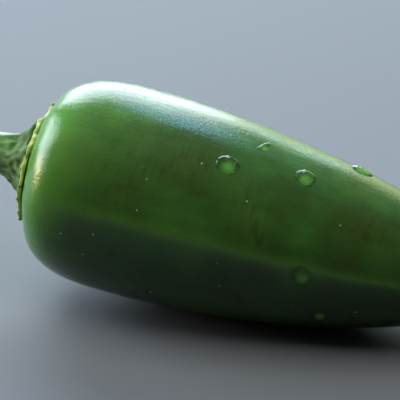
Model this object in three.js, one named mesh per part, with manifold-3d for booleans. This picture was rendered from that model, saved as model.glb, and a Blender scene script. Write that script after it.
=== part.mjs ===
// A green chilli pepper of the plump, blunt kind, as picked, lying on its side.
// Millimetres, +Z up. The pod's own frame has +X from the stem end to the tip. The lying pepper
// is that frame tipped nose-down until the pod balances on a small flat of its underside.

import * as THREE from 'three';
import { mergeVertices } from 'three/addons/utils/BufferGeometryUtils.js';
import Module from 'manifold-3d';

// Pod
const podLength = 75;          // stem end to tip
const podRadius = 15.76;       // widest half-width
const shoulderLength = 15.8;   // stem end to the widest section
const shoulderPower = 3.4;     // 2 is a half ellipse, higher is squarer
const taperShare = 0.755;      // share of the radius lost on the way to the tip
const taperPower = 1.97;       // higher keeps the pod thick for longer
const tipPower = 16;           // higher is blunter
const sagDepth = 1.05;         // how far the centre line dips below its chord
const sagPower = 2.2;          // higher moves the dip towards the tip
const lobeCount = 3;           // one swelling for each seed chamber
const lobeDepth = 0.0065;      // share of the radius
const lobeTurn = THREE.MathUtils.degToRad(16);
const scarHeight = 0.5;        // the dried style scar on the tip
const scarRadius = 1.1;

// Resting pose
const noseDown = THREE.MathUtils.degToRad(7);
const restDepth = 0.5;         // how much of the underside is pressed flat

// Calyx, the thin green cap between the pod and its stem
const calyxRadius = 8.4;
const calyxThickness = 0.75;
const calyxRimThickness = 0.45;
const calyxThinning = 3;       // higher keeps the thinning near the rim
const calyxBoss = 0.9;         // extra height in the middle, under the stem
const calyxBossRadius = 5.2;
const calyxBossPower = 4;      // higher gives the boss a steeper side
const calyxTeeth = 6;
const calyxTurn = THREE.MathUtils.degToRad(18);
const calyxWave = 0.02;        // how far the rim strays from a circle, as a share of its radius
const toothLength = 0.75;
const toothSharpness = 14;

// Stem
const stemLength = 24;
const stemRadius = 2.6;
const stemRaise = 0.95;        // how far above the pod's axis it grows
const stemFlare = 2.2;         // extra radius where it meets the calyx
const stemFlareLength = 2.2;
const stemEndFlare = 0.8;      // extra radius at the cut end
const stemEndFlareLength = 1.6;
const stemRibs = 5;
const stemRibDepth = 0.05;     // share of the radius
const stemBendRadius = 62;
const stemBendTurn = THREE.MathUtils.degToRad(24);   // lean of the bend from straight up
const stemCutChamfer = 0.5;

// Clearance kept between neighbouring pieces
const gap = 0.3;

// Mesh fineness
const podSides = 56;
const shoulderRings = 13;
const taperRings = 30;
const ringCrowding = 1.7;      // higher puts more of the rings near the tip
const calyxSides = 60;
const calyxRings = 7;
const stemSides = 30;
const stemRings = 20;
const stemCrowding = 1.3;      // higher puts more of the rings near the calyx

const wasm = await Module();
wasm.setup();

// Turns a closed geometry into a solid, leaving out the flat triangles at a lathe's poles.
function toSolid(geometry) {
  const bare = new THREE.BufferGeometry();
  bare.setAttribute('position', geometry.getAttribute('position').clone());
  bare.setIndex(geometry.getIndex().clone());
  const merged = mergeVertices(bare);
  const index = merged.getIndex().array;
  const triVerts = [];
  for (let i = 0; i < index.length; i += 3) {
    const [a, b, c] = [index[i], index[i + 1], index[i + 2]];
    if (a !== b && b !== c && c !== a) triVerts.push(a, b, c);
  }
  return new wasm.Manifold(new wasm.Mesh({
    numProp: 3,
    vertProperties: new Float32Array(merged.getAttribute('position').array),
    triVerts: new Uint32Array(triVerts)
  }));
}

function toGeometry(solid) {
  const mesh = solid.getMesh();
  const geometry = new THREE.BufferGeometry();
  geometry.setAttribute('position', new THREE.BufferAttribute(mesh.vertProperties, mesh.numProp));
  geometry.setIndex(new THREE.BufferAttribute(mesh.triVerts, 1));
  geometry.computeVertexNormals();
  return geometry;
}

// Lathes [distance along, radius] points round +X, then moves each point with place(x, y, z).
function latheAlongX(points, sides, place) {
  const outline = points.map(([along, radius]) => new THREE.Vector2(radius, along));
  const geometry = new THREE.LatheGeometry(outline, sides);
  geometry.rotateZ(-Math.PI / 2);
  const position = geometry.getAttribute('position');
  const point = new THREE.Vector3();
  for (let i = 0; i < position.count; i++) {
    point.fromBufferAttribute(position, i);
    place(point);
    position.setXYZ(i, point.x, point.y, point.z);
  }
  return geometry;
}

// Angle round the axis, from +Z towards +Y.
const turnOf = (point) => Math.atan2(point.y, point.z);

// Distance from the stem end to the shoulder's surface at a given radius.
function shoulderAt(radius) {
  const share = Math.min(radius / podRadius, 1);
  return shoulderLength * (1 - (1 - share ** shoulderPower) ** (1 / shoulderPower));
}

function podOutline() {
  const points = [];
  for (let i = 0; i < shoulderRings; i++) {
    const angle = (i / shoulderRings) * (Math.PI / 2);
    const radius = podRadius * Math.sin(angle) ** (2 / shoulderPower);
    points.push([shoulderAt(radius), radius]);
  }
  for (let i = 0; i <= taperRings; i++) {
    const share = 1 - (1 - i / taperRings) ** ringCrowding;
    const radius = podRadius * (1 - taperShare * share ** taperPower) * Math.sqrt(1 - share ** tipPower);
    points.push([shoulderLength + share * (podLength - shoulderLength), radius]);
  }
  return points;
}

// Dip of the pod's centre line below its chord.
function sagAt(along) {
  const share = THREE.MathUtils.clamp(along / podLength, 0, 1);
  const peak = sagPower / (sagPower + 1);
  return sagDepth * (share ** sagPower) * (1 - share) / (peak ** sagPower * (1 - peak));
}

function makePod() {
  const blank = latheAlongX(podOutline(), podSides, (point) => {
    const along = point.x;
    const radius = Math.hypot(point.y, point.z);
    const lobes = 1 + lobeDepth * Math.cos(lobeCount * (turnOf(point) - lobeTurn));
    const nearTip = along > podLength / 2;
    point.x += nearTip ? scarHeight * Math.exp(-((radius / scarRadius) ** 2)) : 0;
    point.y *= lobes;
    point.z = point.z * lobes - sagAt(along);
  });
  blank.rotateY(noseDown);
  blank.computeBoundingBox();

  // The slab takes off the underside up to restDepth, level with the surface below.
  const slabSize = 4 * podRadius + podLength;
  const slab = new THREE.BoxGeometry(slabSize, slabSize, slabSize);
  slab.translate(podLength / 2, 0, blank.boundingBox.min.z + restDepth - slabSize / 2);
  const rested = toGeometry(toSolid(blank).subtract(toSolid(slab)));
  return rested.rotateY(-noseDown);
}

// Radius of the calyx's wavy rim, with its short teeth.
function rimRadius(turn) {
  const wave = calyxWave * Math.cos(2 * turn) + calyxWave / 2 * Math.sin(3 * turn);
  const tooth = Math.cos(calyxTeeth * (turn - calyxTurn) / 2) ** (2 * toothSharpness);
  return calyxRadius * (1 + wave) + toothLength * tooth;
}

function makeCalyx() {
  const thickness = (radius) => {
    const thinned = (radius / calyxRadius) ** calyxThinning;
    const boss = calyxBoss * Math.exp(-((radius / calyxBossRadius) ** calyxBossPower));
    return THREE.MathUtils.lerp(calyxThickness, calyxRimThickness, thinned) + boss;
  };
  const outside = [];
  const inside = [];
  for (let i = 0; i <= calyxRings; i++) {
    const radius = calyxRadius * i / calyxRings;
    outside.push([-thickness(radius), radius]);
    inside.unshift([0, radius]);
  }
  return latheAlongX([...outside, ...inside], calyxSides, (point) => {
    const radius = Math.hypot(point.y, point.z);
    const grow = rimRadius(turnOf(point)) / calyxRadius;
    const stretch = THREE.MathUtils.lerp(1, grow, (radius / calyxRadius) ** 2);
    point.y *= stretch;
    point.z *= stretch;
    point.x += shoulderAt(radius * stretch) - gap;
  });
}

function makeStem() {
  const base = -(calyxThickness + calyxBoss + 2 * gap);
  const radiusAt = (out) => stemRadius
    + stemFlare * Math.exp(-out / stemFlareLength)
    + stemEndFlare * Math.exp(-(stemLength - out) / stemEndFlareLength);
  const points = [[-stemLength, 0], [-stemLength, radiusAt(stemLength) - stemCutChamfer]];
  for (let i = stemRings; i >= 0; i--) {
    const out = (stemLength - stemCutChamfer) * (i / stemRings) ** stemCrowding;
    points.push([-out, radiusAt(out)]);
  }
  points.push([0, 0]);
  return latheAlongX(points, stemSides, (point) => {
    const out = -point.x;
    const rib = 1 + stemRibDepth * Math.cos(stemRibs * turnOf(point));
    const bend = out / stemBendRadius;
    const up = point.z * rib;
    const side = point.y * rib;
    const lift = stemBendRadius * (1 - Math.cos(bend));
    const across = up * Math.cos(stemBendTurn) + side * Math.sin(stemBendTurn);
    point.x = base - (stemBendRadius - across) * Math.sin(bend);
    point.z = stemRaise + up + (lift + across * (Math.cos(bend) - 1)) * Math.cos(stemBendTurn);
    point.y = side + (lift + across * (Math.cos(bend) - 1)) * Math.sin(stemBendTurn);
  });
}

function addPiece(group, name, geometry, color, roughness) {
  const material = new THREE.MeshStandardMaterial({ color, roughness, metalness: 0 });
  const mesh = new THREE.Mesh(geometry, material);
  mesh.name = name;
  group.add(mesh);
}

const pepper = new THREE.Group();
addPiece(pepper, 'pod', makePod(), 0x3f6b2c, 0.22);
addPiece(pepper, 'calyx', makeCalyx(), 0x96ad52, 0.5);
addPiece(pepper, 'stem', makeStem(), 0x5f8a46, 0.55);
pepper.rotation.y = noseDown;

// The origin is the middle of the underside of the whole pepper's box.
pepper.updateMatrixWorld(true);
const box = new THREE.Box3().setFromObject(pepper, true);
const middle = box.getCenter(new THREE.Vector3());
pepper.position.set(-middle.x, -middle.y, -box.min.z);

const chilliPepper = new THREE.Group();
chilliPepper.add(pepper);

export default chilliPepper;
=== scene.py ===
import math
import random

import bpy
from mathutils import Matrix, Vector, noise


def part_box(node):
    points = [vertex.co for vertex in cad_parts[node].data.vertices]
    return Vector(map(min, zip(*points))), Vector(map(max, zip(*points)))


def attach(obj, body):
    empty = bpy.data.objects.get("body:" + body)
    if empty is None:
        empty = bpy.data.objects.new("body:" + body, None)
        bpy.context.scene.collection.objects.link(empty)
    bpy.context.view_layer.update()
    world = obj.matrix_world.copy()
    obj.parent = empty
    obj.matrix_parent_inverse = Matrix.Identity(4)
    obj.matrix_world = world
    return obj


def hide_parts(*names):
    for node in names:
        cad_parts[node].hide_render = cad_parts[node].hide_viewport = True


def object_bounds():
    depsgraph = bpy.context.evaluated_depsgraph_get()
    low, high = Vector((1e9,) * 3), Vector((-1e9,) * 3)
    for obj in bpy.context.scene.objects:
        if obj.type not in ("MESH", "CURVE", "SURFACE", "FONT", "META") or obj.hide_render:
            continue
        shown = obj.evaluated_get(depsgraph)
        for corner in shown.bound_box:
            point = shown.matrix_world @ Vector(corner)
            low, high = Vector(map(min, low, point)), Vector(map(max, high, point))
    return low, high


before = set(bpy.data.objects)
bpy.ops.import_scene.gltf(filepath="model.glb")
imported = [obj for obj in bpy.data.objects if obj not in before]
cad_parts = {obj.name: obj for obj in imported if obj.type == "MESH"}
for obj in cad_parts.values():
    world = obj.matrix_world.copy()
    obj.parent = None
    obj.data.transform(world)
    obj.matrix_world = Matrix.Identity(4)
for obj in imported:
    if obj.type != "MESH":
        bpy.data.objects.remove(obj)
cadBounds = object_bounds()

# A green chilli lying on its side: waxy pod, thin calyx, ribbed stem, and water drops on the skin.
# Shapes are worked out in millimetres in the pod's own frame, with x from the stem end to the tip,
# z up and the turn round the axis counted from z towards y. toTable() then lays them down in metres.

mm = 0.001
greenScatter = (0.6, 1.0, 0.2)      # inside plant flesh, green light spreads furthest
scene = bpy.context.scene
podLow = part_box("pod")[0]
pepperSize = cadBounds[1] - cadBounds[0]
pepperMiddle = (cadBounds[0] + cadBounds[1]) / 2


def hexColour(code):
    # sRGB hex to the linear colour that Blender's sockets take
    parts = [int(code[i:i + 2], 16) / 255 for i in (1, 3, 5)]
    linear = [c / 12.92 if c <= 0.04045 else ((c + 0.055) / 1.055) ** 2.4 for c in parts]
    return (*linear, 1.0)


def addNode(tree, kind, values=None, links=None, **settings):
    node = tree.nodes.new(kind)
    for name, value in settings.items():
        setattr(node, name, value)
    for socket, value in (values or {}).items():
        node.inputs[socket].default_value = value
    for socket, source in (links or {}).items():
        tree.links.new(source, node.inputs[socket])
    return node


def newMaterial(name):
    material = bpy.data.materials.new(name)
    material.use_nodes = True
    material.node_tree.nodes.clear()
    return material, material.node_tree


def bell(distance, width):
    return math.exp(-(distance / width) ** 2)


def clamped(share):
    return min(max(share, 0), 1)


def turnGap(turn, centre):
    # shortest signed angle from centre to turn, in radians
    return (turn - centre + math.pi) % (2 * math.pi) - math.pi


def roundTurns(sides):
    return [2 * math.pi * j / sides for j in range(sides)]


def unevenWave(turn, count, sway):
    # waves round a ring, closer together on two of its sides
    return math.sin(count * turn + sway * math.sin(2 * turn))


def ringNoise(turn, fineness, layer):
    # noise that meets itself after a full turn, and layer picks which noise
    return noise.noise(Vector((fineness * math.sin(turn), fineness * math.cos(turn), layer)))


def gridPart(rows):
    # rows of points become quads, and the first and last row close on their own middle point
    points = [Vector(point) for row in rows for point in row]
    sides = len(rows[0])
    faces = []
    for i in range(len(rows) - 1):
        for j in range(sides):
            k = (j + 1) % sides
            faces.append((i * sides + j, (i + 1) * sides + j, (i + 1) * sides + k, i * sides + k))
    last = (len(rows) - 1) * sides
    for first, flip in ((0, False), (last, True)):
        middle = len(points)
        points.append(sum(points[first:first + sides], Vector()) / sides)
        for j in range(sides):
            a, b = first + j, first + (j + 1) % sides
            faces.append((b, a, middle) if flip else (a, b, middle))
    return points, faces


def newMesh(name, parts):
    points, faces = [], []
    for partPoints, partFaces in parts:
        faces += [tuple(len(points) + corner for corner in face) for face in partFaces]
        points += partPoints
    mesh = bpy.data.meshes.new(name)
    mesh.from_pydata(points, [], faces)
    mesh.shade_smooth()
    mesh.update()
    return mesh


def addPiece(name, mesh, material):
    piece = bpy.data.objects.new(name, mesh)
    scene.collection.objects.link(piece)
    mesh.materials.append(material)
    return piece


def storeShare(mesh, name, values):
    # one number a point, for a material to read
    layer = mesh.attributes.new(name, "FLOAT", "POINT")
    layer.data.foreach_set("value", values)


cameraValues = {
    "azimuth": 16.5,        # degrees round the pepper, towards its tip
    "elevation": 27.2,
    "distance": 0.44,       # metres
    "lens": 264.3,          # mm on a 36 mm sensor: a close, flat view
    "sensor": 36,
    "nearClip": 0.01,       # metres
    "targetAlong": 0.013,   # how far past the middle it looks, as a share of the pepper's length
    "targetHeight": 0.511,  # share of the pepper's height
}


def direction(azimuth, elevation):
    # azimuth 0 is in front of the pepper, and 180 behind it
    a, e = math.radians(azimuth), math.radians(elevation)
    return Vector((math.sin(a) * math.cos(e), -math.cos(a) * math.cos(e), math.sin(e)))


def lookAt(thing, place, target):
    thing.location = place
    thing.rotation_euler = (target - place).to_track_quat("-Z", "Y").to_euler()


target = Vector((pepperMiddle.x + cameraValues["targetAlong"] * pepperSize.x, 0,
                 cameraValues["targetHeight"] * pepperSize.z))
camera = bpy.data.objects.new("camera", bpy.data.cameras.new("camera"))
scene.collection.objects.link(camera)
camera.data.lens = cameraValues["lens"]
camera.data.sensor_width = cameraValues["sensor"]
camera.data.clip_start = cameraValues["nearClip"]
cameraWay = direction(cameraValues["azimuth"], cameraValues["elevation"])
lookAt(camera, target + cameraWay * cameraValues["distance"], target)
scene.camera = camera

# Windows behind and to the left of the pepper, and soft light from above it.
lightValues = {
    # name: azimuth, elevation, roll in degrees, distance in metres, width, height, watts, colour
    "window": (-156, 25, 0, 1.1, 0.72, 0.84, 15, "#deedff"),
    "windowSky": (182.5, 53, 0, 1.1, 0.13, 0.24, 1.7, "#8fc2f2"),
    "sideWindow": (-101, 14, -42, 1.1, 0.62, 0.74, 12.5, "#e2eefc"),
    "sideGlow": (-92, 0, -22, 1.1, 0.30, 0.42, 4.4, "#ffda82"),
    "farWindow": (171, 12, 0, 1.1, 0.70, 0.80, 3.0, "#e2f0a6"),
    "farSky": (177.5, 22, 0, 1.1, 0.07, 0.20, 0.45, "#a8d4f2"),
    "overhead": (-80, 72, 0, 1.2, 1.0, 1.0, 10, "#fffbf2"),
}
softOnly = {"overhead"}     # lights the flesh but leaves no reflection of its own in the wax

for name, (azimuth, elevation, roll, distance, width, height, watts, colour) in lightValues.items():
    lamp = bpy.data.lights.new(name, "AREA")
    lamp.shape = "RECTANGLE"
    lamp.size = width
    lamp.size_y = height
    lamp.energy = watts
    lamp.color = hexColour(colour)[:3]
    lampObject = bpy.data.objects.new(name, lamp)
    scene.collection.objects.link(lampObject)
    lampObject.visible_glossy = name not in softOnly
    lookAt(lampObject, target + direction(azimuth, elevation) * distance, target)
    lampObject.rotation_euler.rotate_axis("Z", math.radians(roll))

# The room is bright behind the pepper and dim in front of it, which keeps the near side deep green.
roomValues = {
    "bright": "#c3d2e2", "dim": "#262a2e",
    "brightAzimuth": -150, "brightElevation": 30,     # degrees
    "dimFrom": -0.2,        # cosine of the angle from the bright side at which the dim colour starts
    "strength": 0.5,
}
world = bpy.data.worlds.new("room")
world.use_nodes = True
tree = world.node_tree
way = addNode(tree, "ShaderNodeTexCoord").outputs["Generated"]
brightWay = direction(roomValues["brightAzimuth"], roomValues["brightElevation"])
towards = addNode(tree, "ShaderNodeVectorMath", operation="DOT_PRODUCT", links={0: way},
                  values={1: brightWay}).outputs["Value"]
brightness = addNode(tree, "ShaderNodeMapRange", interpolation_type="SMOOTHSTEP", links={"Value": towards},
                     values={"From Min": roomValues["dimFrom"], "From Max": 1.0}).outputs[0]
room = addNode(tree, "ShaderNodeMix", data_type="RGBA", links={"Factor": brightness},
               values={"A": hexColour(roomValues["dim"]), "B": hexColour(roomValues["bright"])})
tree.links.new(room.outputs["Result"], tree.nodes["Background"].inputs["Color"])
tree.nodes["Background"].inputs["Strength"].default_value = roomValues["strength"]
scene.world = world
scene.view_settings.view_transform = "Standard"

# A plain matt studio table, with a little glare where it is seen against the windows.
floorValues = {
    "size": 12.0,           # metres
    "colour": "#73787d", "roughness": 0.62, "gloss": 0.20,
}
floorMaterial, tree = newMaterial("mattTable")
shader = addNode(tree, "ShaderNodeBsdfPrincipled", values={
    "Base Color": hexColour(floorValues["colour"]), "Roughness": floorValues["roughness"],
    "Specular IOR Level": floorValues["gloss"]})
addNode(tree, "ShaderNodeOutputMaterial", links={"Surface": shader.outputs[0]})
half = floorValues["size"] / 2
floorMesh = bpy.data.meshes.new("floor")
floorMesh.from_pydata([(-half, -half, 0), (half, -half, 0), (half, half, 0), (-half, half, 0)], [],
                      [(0, 1, 2, 3)])
floor = addPiece("floor", floorMesh, floorMaterial)
floor.location.z = podLow.z
print("stage: camera, lights and floor")


pod = {
    "length": 75, "radius": 15.76,            # mm, like every length below
    "shoulderLength": 15.8, "shoulderPower": 3.4,
    "taperShare": 0.755, "taperPower": 1.97, "tipPower": 16,
    "sagDepth": 1.05, "sagPower": 2.2,
    "lobes": 3, "lobeDepth": 0.0065, "lobeTurn": 16,   # degrees
    "scarHeight": 0.5, "scarRadius": 1.1,
    "noseDown": 7,                            # degrees that the tip hangs below level
    "restDepth": 0.5, "restBlend": 0.08,      # how much of the underside is pressed flat
    # the low lengthwise ridge, which wanders by a few degrees and fades out at both ends
    "ridgeTurn": 281, "ridgeWander": 2,       # degrees
    "ridgeWave": 14, "ridgeHeight": 0.15, "ridgeWidth": 1.1,
    "ridgeStart": 6, "ridgeFadeIn": 8, "ridgeFadeOut": 12,
    # broad bulges along the top: mm along, turn in degrees, height and reach in mm
    "bulges": [(30, 2, 0.16, 6), (47, 6, 0.22, 7)],
    "swellHeight": 0.16, "swellSize": 16,     # slow unevenness of a grown thing
    "dimpleHeight": 0.035, "dimpleSize": 5,
    "drawnOut": 0.55,                         # below 1 stretches the unevenness lengthwise
    "calmRadius": 6,                          # it fades where the pod is thinner than this
    # faint folds that run out from under the calyx
    "puckerHeight": 0.10, "puckerCount": 11, "puckerSway": 1.5, "puckerAt": 1.5, "puckerReach": 3.2,
    # how far round the pod the painted shade below the ridge goes, and how softly it starts
    "bellyPaintedShadeWidth": 24, "bellyPaintedShadeBlend": 1.6,
    "collarAndPaintedLightReach": 6.0,                       # how far the paler green spreads from the calyx, partly its own colour and partly painted light through the flesh
    "sides": 224, "shoulderRings": 90, "taperRings": 270,
    "ringCrowding": 1.5,                      # higher puts more of the rings near the tip
}


def shoulderAt(radius):
    share = min(radius / pod["radius"], 1)
    return pod["shoulderLength"] * (1 - (1 - share ** pod["shoulderPower"]) ** (1 / pod["shoulderPower"]))


def podRadiusAt(along):
    if along < pod["shoulderLength"]:
        share = 1 - max(along, 0) / pod["shoulderLength"]
        return pod["radius"] * max(1 - share ** pod["shoulderPower"], 0) ** (1 / pod["shoulderPower"])
    share = min((along - pod["shoulderLength"]) / (pod["length"] - pod["shoulderLength"]), 1)
    taper = 1 - pod["taperShare"] * share ** pod["taperPower"]
    return pod["radius"] * taper * math.sqrt(1 - share ** pod["tipPower"])


def sagAt(along):
    share = clamped(along / pod["length"])
    peak = pod["sagPower"] / (pod["sagPower"] + 1)
    return pod["sagDepth"] * share ** pod["sagPower"] * (1 - share) / (peak ** pod["sagPower"] * (1 - peak))


# The next four say how much of a feature is felt at a place on the skin, from 0 to 1. All take the
# same two values, so that one loop can store them.

# the low ridge's height; the same share sets where a painted reflection makes the ridge paler
def ridgeShare(along, turn):
    wander = pod["ridgeWander"] * math.sin(along / pod["ridgeWave"])
    reach = pod["radius"] * turnGap(turn, math.radians(pod["ridgeTurn"] + wander))
    fadeIn = clamped((along - pod["ridgeStart"]) / pod["ridgeFadeIn"])
    fadeOut = clamped((pod["length"] - along) / pod["ridgeFadeOut"])
    return fadeIn * fadeOut * bell(reach, pod["ridgeWidth"])


def bellyPaintedShadeShare(along, turn):
    # painted shade: the side that lies towards the table, below the ridge, is painted darker
    past = turnGap(turn, math.radians(pod["ridgeTurn"])) * pod["radius"]
    starts = 1 + math.exp(past / pod["bellyPaintedShadeBlend"])
    ends = 1 + math.exp(-(past + pod["bellyPaintedShadeWidth"]) / pod["bellyPaintedShadeBlend"])
    return 1 / starts / ends


# paler green near the calyx: partly the skin's own colour, partly painted light shining through the flesh
def collarAndPaintedLightShare(along, turn):
    return bell(along, pod["collarAndPaintedLightReach"])


def scarShare(along, turn):
    return bell(podRadiusAt(along), pod["scarRadius"]) if along > pod["length"] / 2 else 0


def skinPoint(along, turn, lift=0.0):
    # a point on the pod's skin in the pod's own frame, lifted off it by lift
    radius = podRadiusAt(along)
    rise = 1 + pod["lobeDepth"] * math.cos(pod["lobes"] * (turn - math.radians(pod["lobeTurn"])))
    unit = Vector((0, math.sin(turn), math.cos(turn)))
    spot = Vector((along * pod["drawnOut"], 0, 0)) + unit * radius    # plus a shift, to pick a piece of noise
    swell = pod["swellHeight"] * noise.noise(spot / pod["swellSize"] + Vector((3.1, 0.4, 7.7)))
    dimple = pod["dimpleHeight"] * noise.noise(spot / pod["dimpleSize"] + Vector((9.2, 5.1, 1.3)))
    bulge = sum(height * bell(along - at, reach) * bell(radius * turnGap(turn, math.radians(over)), reach)
                for at, over, height, reach in pod["bulges"])
    pucker = pod["puckerHeight"] * bell(along - pod["puckerAt"], pod["puckerReach"])
    pucker *= unevenWave(turn, pod["puckerCount"], pod["puckerSway"])
    calm = min(radius / pod["calmRadius"], 1)
    out = radius * rise + calm * (swell + dimple + pucker) + bulge + lift
    out += pod["ridgeHeight"] * ridgeShare(along, turn)
    scar = pod["scarHeight"] * scarShare(along, turn)
    return Vector((along + scar, out * unit.y, out * unit.z - sagAt(along)))


def shoulderStep(i):
    quarter = math.pi / 2 * i / pod["shoulderRings"]
    return pod["shoulderLength"] * (1 - math.cos(quarter) ** (2 / pod["shoulderPower"]))


def taperStep(i):
    share = 1 - (1 - i / pod["taperRings"]) ** pod["ringCrowding"]
    return pod["shoulderLength"] + (pod["length"] - pod["shoulderLength"]) * share


steps = [*map(shoulderStep, range(1, pod["shoulderRings"])), *map(taperStep, range(pod["taperRings"]))]
podTurns = roundTurns(pod["sides"])
skinRows = [[skinPoint(along, turn) for turn in podTurns] for along in steps]

# The pod is tipped nose-down, then placed by the stem end and the underside of its CAD box.
layDown = Matrix.Rotation(math.radians(pod["noseDown"]), 3, "Y")
laid = [layDown @ point for row in skinRows for point in row]
podShift = Vector((podLow.x / mm - min(point.x for point in laid), 0,
                   podLow.z / mm - pod["restDepth"] - min(point.z for point in laid)))


def toTable(point):
    # from the pod's own frame, in mm, to the table, in metres
    return (layDown @ Vector(point) + podShift) * mm


def pressed(point):
    # nothing goes below the table: the soft underside is pressed flat against it
    height = (point.z - podLow.z) / mm
    height = (height + math.sqrt(height ** 2 + pod["restBlend"] ** 2)) / 2
    return Vector((point.x, point.y, podLow.z + height * mm))


podMesh = newMesh("podSkin", [gridPart([[pressed(toTable(point)) for point in row] for row in skinRows])])
podShares = {
    # name: share anywhere on the skin, at the middle of the stem end and at the middle of the tip
    # the ridge, made paler by a painted reflection
    "ridgePaintedReflection": (ridgeShare, 0, 0),
    # the side below the ridge, painted darker as shade
    "bellyPaintedShade": (bellyPaintedShadeShare, 0, 0),
    # the paler collar, partly painted light through the flesh
    "collarAndPaintedLight": (collarAndPaintedLightShare, 1, 0),
    "scar": (scarShare, 0, 1),
}
for name, (shareAt, atStem, atTip) in podShares.items():
    onSkin = [shareAt(along, turn) for along in steps for turn in podTurns]
    storeShare(podMesh, name, onSkin + [atStem, atTip])
print("stage: pod mesh", len(podMesh.polygons), "faces")


# Water lies on the wax as flattened beads. The skin's material needs their places too: a bead gathers
# the window's light on the flesh under its far side, and that bright patch is painted on.
water = {
    # along in mm, turn in degrees, length and width in mm, height as a share of the half width,
    # slant in degrees
    "drops": [
        (30.8, 330, 3.6, 3.1, 0.44, 0), (41.9, 340, 3.1, 2.9, 0.44, 0), (34.6, 352, 3.1, 0.9, 0.5, 62),
        (48.7, 15, 3.4, 2.6, 0.40, 0), (44.9, 276, 2.8, 3.0, 0.27, 0), (47.9, 241, 2.8, 2.2, 0.25, 0),
        (22.9, 239, 1.1, 0.9, 0.4, 0), (19.5, 78, 3.0, 2.6, 0.42, 20), (37.0, 104, 3.4, 2.8, 0.42, 0),
        (58.0, 62, 2.4, 2.0, 0.42, -15), (63.5, 322, 2.1, 1.8, 0.42, 10), (29.0, 142, 1.7, 1.5, 0.4, 0),
    ],
    "rimPower": 0.72,                          # 0.5 is a half ellipse, and higher makes the rim shallower
    "lopsided": 0.06,                          # share by which one end of a bead is wider
    "sink": 0.05,                              # mm that a bead's underside lies under the skin
    "dropSides": 48, "dropRings": 16,
    # the bright patch, in shares of the bead's half size
    "glowShift": 0.42, "glowReach": 1.0,
    "glowCore": 0.1, "wetCore": 0.9,           # shares of bright patch and bead that are at full strength
    "specks": 45, "specksByDrop": 4,           # the finest beads, loose and round each drop
    "speckAlong": (3, 70),                     # mm along the pod that has loose ones
    "speckSizes": (0.14, 0.30),                # mm
    "speckHeight": 0.6,                        # share of the half size
    "speckSides": 12, "speckRings": 4,
    "speckReach": (1.2, 2.6),                  # how far from a drop, in half lengths of it
    "dryUnderside": 55,                        # degrees each side of straight down with no specks
    "seed": 7,
    "ior": 1.333, "gloss": 1.0,                # twice the usual gloss, for beads as small as these
}


def dropPart(along, turn, length, width, height, slant, sides, rings):
    turn, slant = math.radians(turn), math.radians(slant)
    shares = [math.sin(math.pi / 2 * i / rings) for i in range(1, rings + 1)]     # crowded at the steep rim
    angles = roundTurns(sides)

    def spot(share, angle, lift):
        a = share * length / 2 * math.cos(angle)
        b = share * width / 2 * math.sin(angle) * (1 + water["lopsided"] * math.cos(angle))
        x, y = a * math.cos(slant) - b * math.sin(slant), a * math.sin(slant) + b * math.cos(slant)
        return toTable(skinPoint(along + x, turn + y / podRadiusAt(along), lift))

    def capLift(share):
        return height * max(1 - share ** 2, 0) ** water["rimPower"] * width / 2

    rows = [[spot(share, angle, capLift(share)) for angle in angles] for share in shares]
    rows += [[spot(share, angle, -water["sink"]) for angle in angles] for share in reversed(shares)]
    return gridPart(rows)


def glowPlace(along, turn, size):
    # the middle of the bright patch under a drop of this half size, in metres
    middle = toTable(skinPoint(along, math.radians(turn)))
    outward = toTable(skinPoint(along, math.radians(turn), 1)) - middle
    outward.normalize()
    azimuth, elevation = lightValues["window"][:2]
    ray = -direction(azimuth, elevation)
    sideways = (ray - outward * ray.dot(outward)).normalized()
    return middle + sideways * size * water["glowShift"]


def fadeRound(tree, place, middle, outer, inner):
    # 1 nearer to middle than inner, falling to 0 at outer
    away = addNode(tree, "ShaderNodeVectorMath", operation="DISTANCE", links={0: place},
                   values={1: middle}).outputs["Value"]
    return addNode(tree, "ShaderNodeMapRange", interpolation_type="SMOOTHSTEP", links={"Value": away},
                   values={"From Min": outer, "From Max": inner}).outputs[0]


def highest(tree, sources):
    top, *others = sources
    for other in others:
        top = addNode(tree, "ShaderNodeMath", operation="MAXIMUM", links={0: top, 1: other}).outputs[0]
    return top


def dropMasks(tree, place):
    # which skin is under water, and how much of it is painted as lit through a drop
    wet, lit = [], []
    for along, turn, length, width, *rest in water["drops"]:
        middle = toTable(skinPoint(along, math.radians(turn)))
        size = (length + width) / 4 * mm
        reach = size * water["glowReach"]
        under = fadeRound(tree, place, middle, size, water["wetCore"] * size)
        glow = fadeRound(tree, place, glowPlace(along, turn, size), reach, water["glowCore"] * reach)
        wet.append(under)
        both = addNode(tree, "ShaderNodeMath", operation="MULTIPLY", links={0: under, 1: glow})
        lit.append(both.outputs[0])
    return highest(tree, wet), highest(tree, lit)
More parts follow.
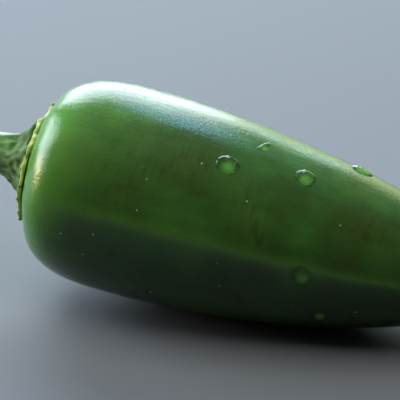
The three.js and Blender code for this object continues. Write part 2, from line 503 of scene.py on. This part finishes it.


# Fresh chilli skin: a clear, waxy cuticle that grew over deep green flesh. The wax gives a bright,
# slightly granular gloss. The green under it is uneven: streaked lengthwise, brownish where it starts
# to ripen and finely barred where the skin has stretched. Painted light and shade are mixed in too: a
# painted reflection makes the ridge paler, painted shade darkens the side below it, the paler green
# under the calyx is partly its own colour and partly painted light shining through the flesh, and
# painted light brightens the skin under the drops.
skin = {
    # the darkest green, for the side below the ridge, is painted shade; glow is painted light under the
    # drops; collar is partly painted light
    "deep": "#3d5727", "mid": "#437431", "light": "#5f8f38", "olive": "#4c622a", "bar": "#1f3b1e",
    "collarAndPaintedLight": "#5b9a34", "bellyPaintedShade": "#0c1b08", "scar": "#6b5a34", "speck": "#e2efc4", "glow": "#76bb55",
    "deepUpTo": 0.45, "midAt": 0.66,           # pattern values at which the greens stand
    "streakShare": 0.3,                        # how much the streaks count beside the patches
    # pattern value at which each one starts, the value at which it is full, and its strength
    "ripening": (0.44, 0.66, 0.6), "barPlaces": (0.50, 0.62, 0.4), "bars": (0.52, 0.66, 1.0),
    # tint strengths: the ridge's is a painted reflection, the side below it painted shade, the collar's
    # partly painted light
    "ridgePaintedReflectionTint": 0.5, "bellyPaintedShadeTint": 0.68, "collarAndPaintedLightTint": 0.85, "scarTint": 1.0,
    "streakWidth": 1.8,     # mm across the pod
    "patchSize": 10,        # mm
    "ripeningSize": 14,     # mm
    "barWidth": 0.9,        # mm along the pod
    "furrowWidth": 0.8,     # mm, the finest lengthwise unevenness
    "grainSize": 0.3,       # mm, the cell pattern of the cuticle, drawn coarse enough to show
    "drawnOut": 0.2,        # lower stretches streaks and furrows lengthwise
    "barsDrawnOut": 0.3,    # lower stretches the bars round the pod
    "furrowDepth": 0.08, "furrowBump": 0.4,    # mm, and strength
    "grainDepth": 0.055, "grainBump": 0.8,
    "speckSpacing": 2.9,    # mm
    "speckRadius": 0.15,    # mm
    "speckTint": 0.9, "speckCore": 0.4,        # strength, and the share of a speck that is full
    "satin": (0.3, 0.7), "roughness": (0.22, 0.32),      # pattern values, and the roughness at each
    "ior": 1.45, "gloss": 0.07,                # little of its own, because the wax carries the gloss
    "wax": 0.8, "waxIor": 1.44, "waxRoughness": 0.065,
    "fleshGlow": 0.1, "fleshDepth": 1.5,       # share and mm of light spread inside the flesh
}


def skinPatterns(tree, level):
    # level is the place in the pod's own frame, so that streaks run along it
    lengthwise = addNode(tree, "ShaderNodeMapping", links={"Vector": level},
                         values={"Scale": (skin["drawnOut"], 1, 1)}).outputs[0]
    crosswise = addNode(tree, "ShaderNodeMapping", links={"Vector": level},
                        values={"Scale": (1, skin["barsDrawnOut"], skin["barsDrawnOut"])}).outputs[0]
    elsewhere = addNode(tree, "ShaderNodeMapping", links={"Vector": level},
                        values={"Location": (0.021, 0.043, 0.008)}).outputs[0]
    patterns = {
        # name: space, size in mm, detail, roughness
        "streaks": (lengthwise, skin["streakWidth"], 3, 0.55),
        "patches": (level, skin["patchSize"], 3, 0.5),
        "ripening": (elsewhere, skin["ripeningSize"], 2, 0.5),
        "bars": (crosswise, skin["barWidth"], 3, 0.6),
        "furrows": (lengthwise, skin["furrowWidth"], 2, 0.6),
        "grain": (level, skin["grainSize"], 2, 0.6),
    }
    return {name: addNode(tree, "ShaderNodeTexNoise", links={"Vector": space},
                          values={"Scale": 1 / (size * mm), "Detail": detail, "Roughness": rough}).outputs[0]
            for name, (space, size, detail, rough) in patterns.items()}


def skinColour(tree, level, made, lit):
    blend = addNode(tree, "ShaderNodeMath", operation="MULTIPLY_ADD", values={1: skin["streakShare"]},
                    links={0: made["streaks"], 2: made["patches"]}).outputs[0]
    green = addNode(tree, "ShaderNodeValToRGB", links={"Fac": blend})
    ramp = green.color_ramp
    ramp.elements[0].position, ramp.elements[0].color = skin["deepUpTo"], hexColour(skin["deep"])
    ramp.elements[1].position, ramp.elements[1].color = 1.0, hexColour(skin["light"])
    ramp.elements.new(skin["midAt"]).color = hexColour(skin["mid"])

    cells = addNode(tree, "ShaderNodeTexVoronoi", links={"Vector": level},
                    values={"Scale": 1 / (skin["speckSpacing"] * mm)}).outputs["Distance"]
    speckEdge = skin["speckRadius"] / skin["speckSpacing"]
    fades = {
        # name: what it follows, value at which it starts, value at which it is full, strength
        "ripening": (made["ripening"], *skin["ripening"]),
        "barPlaces": (made["ripening"], *skin["barPlaces"]),
        "bars": (made["bars"], *skin["bars"]),
        "specks": (cells, speckEdge, skin["speckCore"] * speckEdge, skin["speckTint"]),
    }
    share = {name: addNode(tree, "ShaderNodeMapRange", links={"Value": source}, values={
        "From Min": start, "From Max": full, "To Max": strength}).outputs[0]
        for name, (source, start, full, strength) in fades.items()}
    barred = addNode(tree, "ShaderNodeMath", operation="MULTIPLY",
                     links={0: share["barPlaces"], 1: share["bars"]}).outputs[0]
    for name in podShares:
        felt = addNode(tree, "ShaderNodeAttribute", attribute_name=name).outputs["Fac"]
        share[name] = addNode(tree, "ShaderNodeMath", operation="MULTIPLY", links={0: felt},
                              values={1: skin[f"{name}Tint"]}).outputs[0]

    colour = green.outputs[0]
    # the ridge tint is a painted reflection, the belly tint painted shade, the collar tint partly painted
    # light, and glow painted light under the drops
    tints = {"olive": share["ripening"], "bar": barred, "bellyPaintedShade": share["bellyPaintedShade"], "light": share["ridgePaintedReflection"],
             "collarAndPaintedLight": share["collarAndPaintedLight"], "speck": share["specks"], "scar": share["scar"], "glow": lit}
    for tint, factor in tints.items():
        colour = addNode(tree, "ShaderNodeMix", data_type="RGBA", links={"Factor": factor, "A": colour},
                         values={"B": hexColour(skin[tint])}).outputs["Result"]
    return colour


def podSkinMaterial():
    material, tree = newMaterial("waxyGreenSkin")
    place = addNode(tree, "ShaderNodeTexCoord").outputs["Object"]
    level = addNode(tree, "ShaderNodeMapping", links={"Vector": place},
                    values={"Rotation": (0, -math.radians(pod["noseDown"]), 0)}).outputs[0]
    made = skinPatterns(tree, level)
    wet, lit = dropMasks(tree, place)
    satin = addNode(tree, "ShaderNodeMapRange", links={"Value": made["patches"]}, values={
        "From Min": skin["satin"][0], "From Max": skin["satin"][1],
        "To Min": skin["roughness"][0], "To Max": skin["roughness"][1]}).outputs[0]
    # water lies against the wax without a gleam between them
    dull = addNode(tree, "ShaderNodeMath", operation="MAXIMUM", links={0: satin, 1: wet}).outputs[0]
    coat = addNode(tree, "ShaderNodeMapRange", links={"Value": wet},
                   values={"To Min": skin["wax"], "To Max": 0.0}).outputs[0]
    furrowed = addNode(tree, "ShaderNodeBump", links={"Height": made["furrows"]}, values={
        "Strength": skin["furrowBump"], "Distance": skin["furrowDepth"] * mm}).outputs[0]
    grained = addNode(tree, "ShaderNodeBump", links={"Height": made["grain"], "Normal": furrowed}, values={
        "Strength": skin["grainBump"], "Distance": skin["grainDepth"] * mm}).outputs[0]
    shader = addNode(tree, "ShaderNodeBsdfPrincipled",
                     links={"Base Color": skinColour(tree, level, made, lit), "Roughness": dull,
                            "Coat Weight": coat, "Normal": grained, "Coat Normal": grained},
                     values={"IOR": skin["ior"], "Specular IOR Level": skin["gloss"],
                             "Coat IOR": skin["waxIor"], "Coat Roughness": skin["waxRoughness"],
                             "Subsurface Weight": skin["fleshGlow"],
                             "Subsurface Scale": skin["fleshDepth"] * mm, "Subsurface Radius": greenScatter})
    addNode(tree, "ShaderNodeOutputMaterial", links={"Surface": shader.outputs[0]})
    return material


podSkin = addPiece("podSkin", podMesh, podSkinMaterial())
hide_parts("pod")
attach(podSkin, "root")
print("stage: pod")


calyx = {
    "radius": 8.4, "thickness": 0.75, "rimThickness": 0.58,     # mm
    "thinning": 3,                      # higher keeps the thinning near the rim
    "seat": 0.05,                       # mm that it sits into the pod
    "boss": 1.0, "bossRadius": 6.2,
    # waves round the rim: count, share of the radius, phase in radians
    "waves": [(2, 0.02, math.pi / 2), (3, 0.01, 0), (9, 0.012, 1)],
    # short teeth: turn in degrees, length in mm, width in degrees
    "teeth": [(19, 1.2, 9), (78, 0.7, 8), (137, 0.9, 7), (186, 0.6, 8), (233, 0.75, 5), (277, 0.6, 6),
              (322, 0.35, 9)],
    # the dried bead on some of the teeth: turn in degrees, radius in mm
    "nubs": [(19, 0.44), (78, 0.28), (137, 0.32), (186, 0.25), (233, 0.30), (277, 0.26)],
    "nubStretch": 1.1, "nubPlace": 0.7,         # place through the rim: 0 is against the pod, 1 outside
    "nubSides": 14, "nubRings": 8,
    "ribs": 10, "ribHeight": 0.12,
    "lift": 0.35, "curls": 5, "curlSway": 2,    # how far the rim stands off the pod where it curls
    "rimPower": 6,                              # higher keeps curl and unevenness near the rim
    "fray": 0.30, "frayFineness": 7,            # mm that the rim strays, and how quickly
    "unevenness": 0.8, "unevenFineness": 9,     # share of the rim's thickness, and how quickly
    # the rounded rim: share of the radius, and place through the thickness
    "rimProfile": [(0.995, 0.85), (1.0, 0.5), (0.995, 0.15)],
    "innerShare": 0.06, "outerShare": 0.985,    # the faces' innermost and outermost rings
    "sides": 360, "rings": 26, "ringCrowding": 0.8,
}


def calyxRim(turn):
    wave = sum(share * math.sin(count * turn + phase) for count, share, phase in calyx["waves"])
    teeth = sum(length * bell(turnGap(turn, math.radians(at)), math.radians(width))
                for at, length, width in calyx["teeth"])
    return calyx["radius"] * (1 + wave) + teeth + calyx["fray"] * ringNoise(turn, calyx["frayFineness"], 2.5)


def calyxPoint(share, turn, side):
    # side 1 is the outer face and 0 the face against the pod, with the rim rounded between them
    radius = share * calyxRim(turn)
    rim = share ** calyx["rimPower"]
    curl = calyx["lift"] * rim * (0.5 - 0.5 * unevenWave(turn, calyx["curls"], calyx["curlSway"]))
    thinner = calyx["rimThickness"] - calyx["thickness"]
    thick = calyx["thickness"] + thinner * share ** calyx["thinning"]
    thick *= 1 + calyx["unevenness"] * rim * ringNoise(turn, calyx["unevenFineness"], 9.5)
    rib = calyx["ribHeight"] * (1 - rim) * share * math.cos(calyx["ribs"] * turn)
    boss = calyx["boss"] * bell(radius ** 2, calyx["bossRadius"] ** 2)
    height = curl - calyx["seat"] + side * (thick + rib + boss)
    return Vector((shoulderAt(radius) - height, radius * math.sin(turn), radius * math.cos(turn)))


def nubPart(turn, size):
    middle = calyxPoint(1, turn, calyx["nubPlace"])
    rows = []
    for i in range(1, calyx["nubRings"]):
        polar = math.pi * i / calyx["nubRings"]
        along, across = -calyx["nubStretch"] * math.cos(polar), math.sin(polar)
        ring = [Vector((along, across * math.sin(angle), across * math.cos(angle)))
                for angle in roundTurns(calyx["nubSides"])]
        rows.append([toTable(middle + size * point) for point in ring])
    return gridPart(rows)


calyxTurns = roundTurns(calyx["sides"])
faceWidth = calyx["outerShare"] - calyx["innerShare"]
faceShares = [calyx["innerShare"] + faceWidth * (i / calyx["rings"]) ** calyx["ringCrowding"]
              for i in range(calyx["rings"] + 1)]
calyxProfile = [(share, 1) for share in faceShares] + calyx["rimProfile"]
calyxProfile += [(share, 0) for share in reversed(faceShares)]
capPart = gridPart([[toTable(calyxPoint(share, turn, side)) for turn in calyxTurns]
                    for share, side in calyxProfile])
nubParts = [nubPart(math.radians(turn), size) for turn, size in calyx["nubs"]]
onNubs = [1] * sum(len(points) for points, faces in nubParts)
calyxMesh = newMesh("calyxCap", [capPart, *nubParts])
storeShare(calyxMesh, "rim", [share for share, side in calyxProfile for turn in calyxTurns] + [0, 0] + onNubs)
storeShare(calyxMesh, "nub", [0] * len(capPart[0]) + onNubs)


# Calyx: thin, soft green leaf tissue that has begun to dry. It is satin rather than glossy, lime where
# it thins at the rim, with dark, dried tooth tips and faint ribs that run out from the stem. The lime is
# carried in over the outer face beside the rim as painted light, where that face lies in shade.
leaf = {
    # lime is the thin rim's own colour, and also painted light on the shaded outer face beside it
    "green": "#6c8c38", "lime": "#b4c66a", "dark": "#5a6a2a", "nub": "#75853a",
    # value at which each tint starts, the value at which it is full, and its strength
    "limeRimAndPaintedLight": (0.6, 0.95, 1.0), "darkPatches": (0.48, 0.68, 0.7), "driedNubs": (0.0, 1.0, 0.9),
    "mottleSize": 1.4,      # mm
    "grainSize": 0.5,       # mm, leaf cells drawn coarse enough to show
    "grainDepth": 0.1, "grainBump": 0.4,      # mm, and strength
    "roughness": 0.45, "ior": 1.42,
    "fleshGlow": 0.2, "fleshDepth": 1.0,      # share and mm of light spread inside the leaf
}


def calyxMaterial():
    material, tree = newMaterial("thinCalyxLeaf")
    place = addNode(tree, "ShaderNodeTexCoord").outputs["Object"]
    mottle, grain = [addNode(tree, "ShaderNodeTexNoise", links={"Vector": place},
                             values={"Scale": 1 / (leaf[size] * mm), "Detail": 3}).outputs[0]
                     for size in ("mottleSize", "grainSize")]
    rim, nub = [addNode(tree, "ShaderNodeAttribute", attribute_name=name).outputs["Fac"]
                for name in ("rim", "nub")]
    share = {}
    for name, source in {"limeRimAndPaintedLight": rim, "darkPatches": mottle, "driedNubs": nub}.items():
        start, full, strength = leaf[name]
        share[name] = addNode(tree, "ShaderNodeMapRange", links={"Value": source}, values={
            "From Min": start, "From Max": full, "To Max": strength}).outputs[0]
    colour = addNode(tree, "ShaderNodeMix", data_type="RGBA", links={"Factor": share["limeRimAndPaintedLight"]},
                     values={"A": hexColour(leaf["green"]), "B": hexColour(leaf["lime"])}).outputs["Result"]
    for tint, factor in (("dark", share["darkPatches"]), ("nub", share["driedNubs"])):
        colour = addNode(tree, "ShaderNodeMix", data_type="RGBA", links={"Factor": factor, "A": colour},
                         values={"B": hexColour(leaf[tint])}).outputs["Result"]
    bump = addNode(tree, "ShaderNodeBump", links={"Height": grain}, values={
        "Strength": leaf["grainBump"], "Distance": leaf["grainDepth"] * mm}).outputs[0]
    shader = addNode(tree, "ShaderNodeBsdfPrincipled", links={"Base Color": colour, "Normal": bump},
                     values={"Roughness": leaf["roughness"], "IOR": leaf["ior"],
                             "Subsurface Weight": leaf["fleshGlow"],
                             "Subsurface Scale": leaf["fleshDepth"] * mm, "Subsurface Radius": greenScatter})
    addNode(tree, "ShaderNodeOutputMaterial", links={"Surface": shader.outputs[0]})
    return material


calyxCap = addPiece("calyxCap", calyxMesh, calyxMaterial())
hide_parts("calyx")
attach(calyxCap, "root")
print("stage: calyx")


stem = {
    "length": 24, "radius": 2.6, "flare": 2.2, "flareLength": 2.2,     # mm
    "flareStop": -0.9,                     # the flare grows no wider from here inwards
    "endFlare": 0.8, "endFlareLength": 1.6,
    "cutRound": 0.7, "cutDish": 0.3,       # mm that the cut end is rounded, and sunk in its middle
    "cutFace": 0.8,                        # share of the radius inside the rounding
    "ribs": 5, "ribDepth": 0.07, "twist": 35,                          # degrees along its length
    "fineRibs": 13, "fineRibDepth": 0.02,
    "lump": 0.05, "lumpSize": 4, "lumpFineness": 2,
    "footLump": 0.16, "footLength": 2.5, "footFineness": 4,
    "bendRadius": 62, "bendTurn": 24,
    "raise": 0.95,               # mm above the pod's axis
    "base": -1.9, "sink": 1.2,   # mm from the pod's stem end, and how far it carries on into the calyx
    "sides": 120, "rings": 110, "ringCrowding": 1.2,     # higher puts more of the rings near the calyx
    "roundRings": (0.3, 0.55, 0.8, 1.0),                 # shares of the rounding's quarter turn
    "faceRings": (0.76, 0.7, 0.6, 0.5, 0.4, 0.3, 0.2, 0.1),     # shares of the radius
}


def stemRadiusAt(out):
    return (stem["radius"] + stem["flare"] * math.exp(-max(out, stem["flareStop"]) / stem["flareLength"])
            + stem["endFlare"] * math.exp(-(stem["length"] - out) / stem["endFlareLength"]))


def stemPoint(out, turn, shrink):
    ribTurn = turn + math.radians(stem["twist"]) * out / stem["length"]
    rib = 1 + stem["ribDepth"] * math.cos(stem["ribs"] * ribTurn)
    rib += stem["fineRibDepth"] * math.cos(stem["fineRibs"] * ribTurn + 1)
    ring = Vector((0, math.sin(turn), math.cos(turn)))
    lumps = noise.noise(Vector((out / stem["lumpSize"], 0, 0)) + stem["lumpFineness"] * ring)
    footLumps = noise.noise(Vector((out, 5, 2)) + stem["footFineness"] * ring)
    lump = 1 + stem["lump"] * lumps + stem["footLump"] * bell(out, stem["footLength"]) * footLumps
    radius = stemRadiusAt(out) * rib * lump * shrink
    side, up = radius * math.sin(turn), radius * math.cos(turn)
    lean = math.radians(stem["bendTurn"])
    bend = out / stem["bendRadius"]
    across = up * math.cos(lean) + side * math.sin(lean)
    lift = stem["bendRadius"] * (1 - math.cos(bend)) + across * (math.cos(bend) - 1)
    return Vector((stem["base"] - (stem["bendRadius"] - across) * math.sin(bend),
                   side + lift * math.sin(lean), stem["raise"] + up + lift * math.cos(lean)))


def stemOutline():
    # how far out each ring is and its share of the radius, from the middle of the cut to the calyx
    grown = stem["length"] - stem["cutRound"] + stem["sink"]
    outline = [(grown * (i / stem["rings"]) ** stem["ringCrowding"] - stem["sink"], 1.0)
               for i in range(stem["rings"] + 1)]
    for quarter in stem["roundRings"]:
        angle = quarter * math.pi / 2
        outline.append((stem["length"] - stem["cutRound"] * (1 - math.sin(angle)),
                        1 - (1 - stem["cutFace"]) * (1 - math.cos(angle))))
    outline += [(stem["length"] - stem["cutDish"] * (1 - (share / stem["cutFace"]) ** 2), share)
                for share in stem["faceRings"]]
    return outline[::-1]


stemTurns = roundTurns(stem["sides"])
stemRings = stemOutline()
stemMesh = newMesh("stemStalk", [gridPart([[toTable(stemPoint(out, turn, shrink)) for turn in stemTurns]
                                           for out, shrink in stemRings])])
outShares = [out / stem["length"] for out, shrink in stemRings for turn in stemTurns]
cutShares = [1 - shrink for out, shrink in stemRings for turn in stemTurns]
storeShare(stemMesh, "out", outShares + [1, 0])
storeShare(stemMesh, "cut", cutShares + [1, 0])


# Stem: firm, fibrous green stalk, cut when it was picked and dried there since. It is satin, ribbed
# lengthwise and finely furrowed, with painted shade in the crease round its foot and a dull straw-brown
# cut end.
stalk = {
    # crease is painted shade for the crease round the foot
    "green": "#47722f", "pale": "#74a055", "footPaintedShade": "#253a1b", "dry": "#8f8350",
    "pith": "#c2b988", "core": "#6f6238",
    "fibreWidth": 0.35,     # mm
    "mottleSize": 1.8,      # mm
    "drawnOut": 0.1,        # lower stretches the fibres lengthwise
    "fibreShare": 0.6,      # how much the fibres count beside the mottle in the paler green
    "raggedness": 0.4,      # how much the mottle moves the edges of pith and core
    # value at which each tint starts, the value at which it is full, and its strength
    "paler": (0.65, 0.95, 1.0), "footPaintedShadeReach": (0.14, -0.02, 0.8), "patches": (0.42, 0.58, 1.0),
    "dried": (0.9, 0.985, 1.0), "pithFrom": (0.48, 0.62, 1.0), "coreFrom": (0.95, 1.05, 1.0),
    "fibreDepth": 0.12, "fibreBump": 0.5,      # mm, and strength
    "roughness": 0.32, "footRoughness": 0.75, "footEnds": (0.02, 0.2),     # shares of the length
    "ior": 1.42, "gloss": 0.8,                 # more than usual, to keep its thin highlight
    "fleshGlow": 0.08, "fleshDepth": 1.0,      # share and mm of light spread inside the stalk
}


def stemMaterial():
    material, tree = newMaterial("fibrousStalk")
    place = addNode(tree, "ShaderNodeTexCoord").outputs["Object"]
    lengthwise = addNode(tree, "ShaderNodeMapping", links={"Vector": place},
                         values={"Scale": (stalk["drawnOut"], 1, 1)}).outputs[0]
    fibres, mottle = [addNode(tree, "ShaderNodeTexNoise", links={"Vector": space},
                              values={"Scale": 1 / (stalk[size] * mm), "Detail": 3}).outputs[0]
                      for space, size in ((lengthwise, "fibreWidth"), (place, "mottleSize"))]
    out, cut = [addNode(tree, "ShaderNodeAttribute", attribute_name=name).outputs["Fac"]
                for name in ("out", "cut")]
    both, ragged = [addNode(tree, "ShaderNodeMath", operation="MULTIPLY_ADD", links={0: first, 2: second},
                            values={1: stalk[share]}).outputs[0]
                    for first, second, share in ((fibres, mottle, "fibreShare"), (mottle, cut, "raggedness"))]
    follows = {"paler": both, "footPaintedShadeReach": out, "patches": mottle, "dried": out, "pithFrom": ragged,
               "coreFrom": ragged}
    share = {}
    for name, source in follows.items():
        start, full, strength = stalk[name]
        share[name] = addNode(tree, "ShaderNodeMapRange", links={"Value": source}, values={
            "From Min": start, "From Max": full, "To Max": strength}).outputs[0]
    # painted shade in the crease round the foot, made lumpy by the mottle
    footPaintedShadeShare = addNode(tree, "ShaderNodeMath", operation="MULTIPLY",
                      links={0: share["footPaintedShadeReach"], 1: share["patches"]}).outputs[0]
    colour = addNode(tree, "ShaderNodeMix", data_type="RGBA", links={"Factor": share["paler"]},
                     values={"A": hexColour(stalk["green"]), "B": hexColour(stalk["pale"])}).outputs["Result"]
    for tint, factor in (("footPaintedShade", footPaintedShadeShare), ("dry", share["dried"]), ("pith", share["pithFrom"]),
                         ("core", share["coreFrom"])):
        colour = addNode(tree, "ShaderNodeMix", data_type="RGBA", links={"Factor": factor, "A": colour},
                         values={"B": hexColour(stalk[tint])}).outputs["Result"]
    bump = addNode(tree, "ShaderNodeBump", links={"Height": fibres}, values={
        "Strength": stalk["fibreBump"], "Distance": stalk["fibreDepth"] * mm}).outputs[0]
    # the foot is duller than the rest
    satin = addNode(tree, "ShaderNodeMapRange", links={"Value": out}, values={
        "From Min": stalk["footEnds"][0], "From Max": stalk["footEnds"][1],
        "To Min": stalk["footRoughness"], "To Max": stalk["roughness"]}).outputs[0]
    shader = addNode(tree, "ShaderNodeBsdfPrincipled",
                     links={"Base Color": colour, "Normal": bump, "Roughness": satin},
                     values={"IOR": stalk["ior"], "Specular IOR Level": stalk["gloss"],
                             "Subsurface Weight": stalk["fleshGlow"],
                             "Subsurface Scale": stalk["fleshDepth"] * mm, "Subsurface Radius": greenScatter})
    addNode(tree, "ShaderNodeOutputMaterial", links={"Surface": shader.outputs[0]})
    return material


stemStalk = addPiece("stemStalk", stemMesh, stemMaterial())
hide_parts("stem")
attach(stemStalk, "root")
print("stage: stem")


def waterMaterial():
    # Water: clear and perfectly smooth, so it shows only as lights, a thin dark edge and the bent
    # green behind it.
    material, tree = newMaterial("clearWater")
    shader = addNode(tree, "ShaderNodeBsdfPrincipled", values={
        "Base Color": (1, 1, 1, 1), "Roughness": 0.0, "IOR": water["ior"],
        "Specular IOR Level": water["gloss"], "Transmission Weight": 1.0})
    addNode(tree, "ShaderNodeOutputMaterial", links={"Surface": shader.outputs[0]})
    return material


def dropOf(bead):
    return dropPart(*bead, water["dropSides"], water["dropRings"])


chance = random.Random(water["seed"])
speckParts = []


def addSpeck(along, turn):
    if abs(turnGap(math.radians(turn), math.pi)) < math.radians(water["dryUnderside"]):
        return
    size = chance.uniform(*water["speckSizes"])
    speckParts.append(dropPart(along, turn, size, size, water["speckHeight"], 0,
                               water["speckSides"], water["speckRings"]))


for along, turn, length, *rest in water["drops"]:
    for _ in range(water["specksByDrop"]):
        reach = chance.uniform(*water["speckReach"]) * length / 2
        angle = chance.uniform(0, 2 * math.pi)
        around = math.degrees(reach * math.sin(angle) / podRadiusAt(along))
        addSpeck(along + reach * math.cos(angle), turn + around)
for _ in range(water["specks"]):
    addSpeck(chance.uniform(*water["speckAlong"]), chance.uniform(0, 360))

clearWater = waterMaterial()
waterPieces = {f"waterDrop{number}": [dropOf(bead)] for number, bead in enumerate(water["drops"], 1)}
waterPieces["waterSpecks"] = speckParts
for name, parts in waterPieces.items():
    waterPiece = addPiece(name, newMesh(name, parts), clearWater)
    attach(waterPiece, "root")
print("stage: water", len(water["drops"]), "drops and", len(speckParts), "specks")
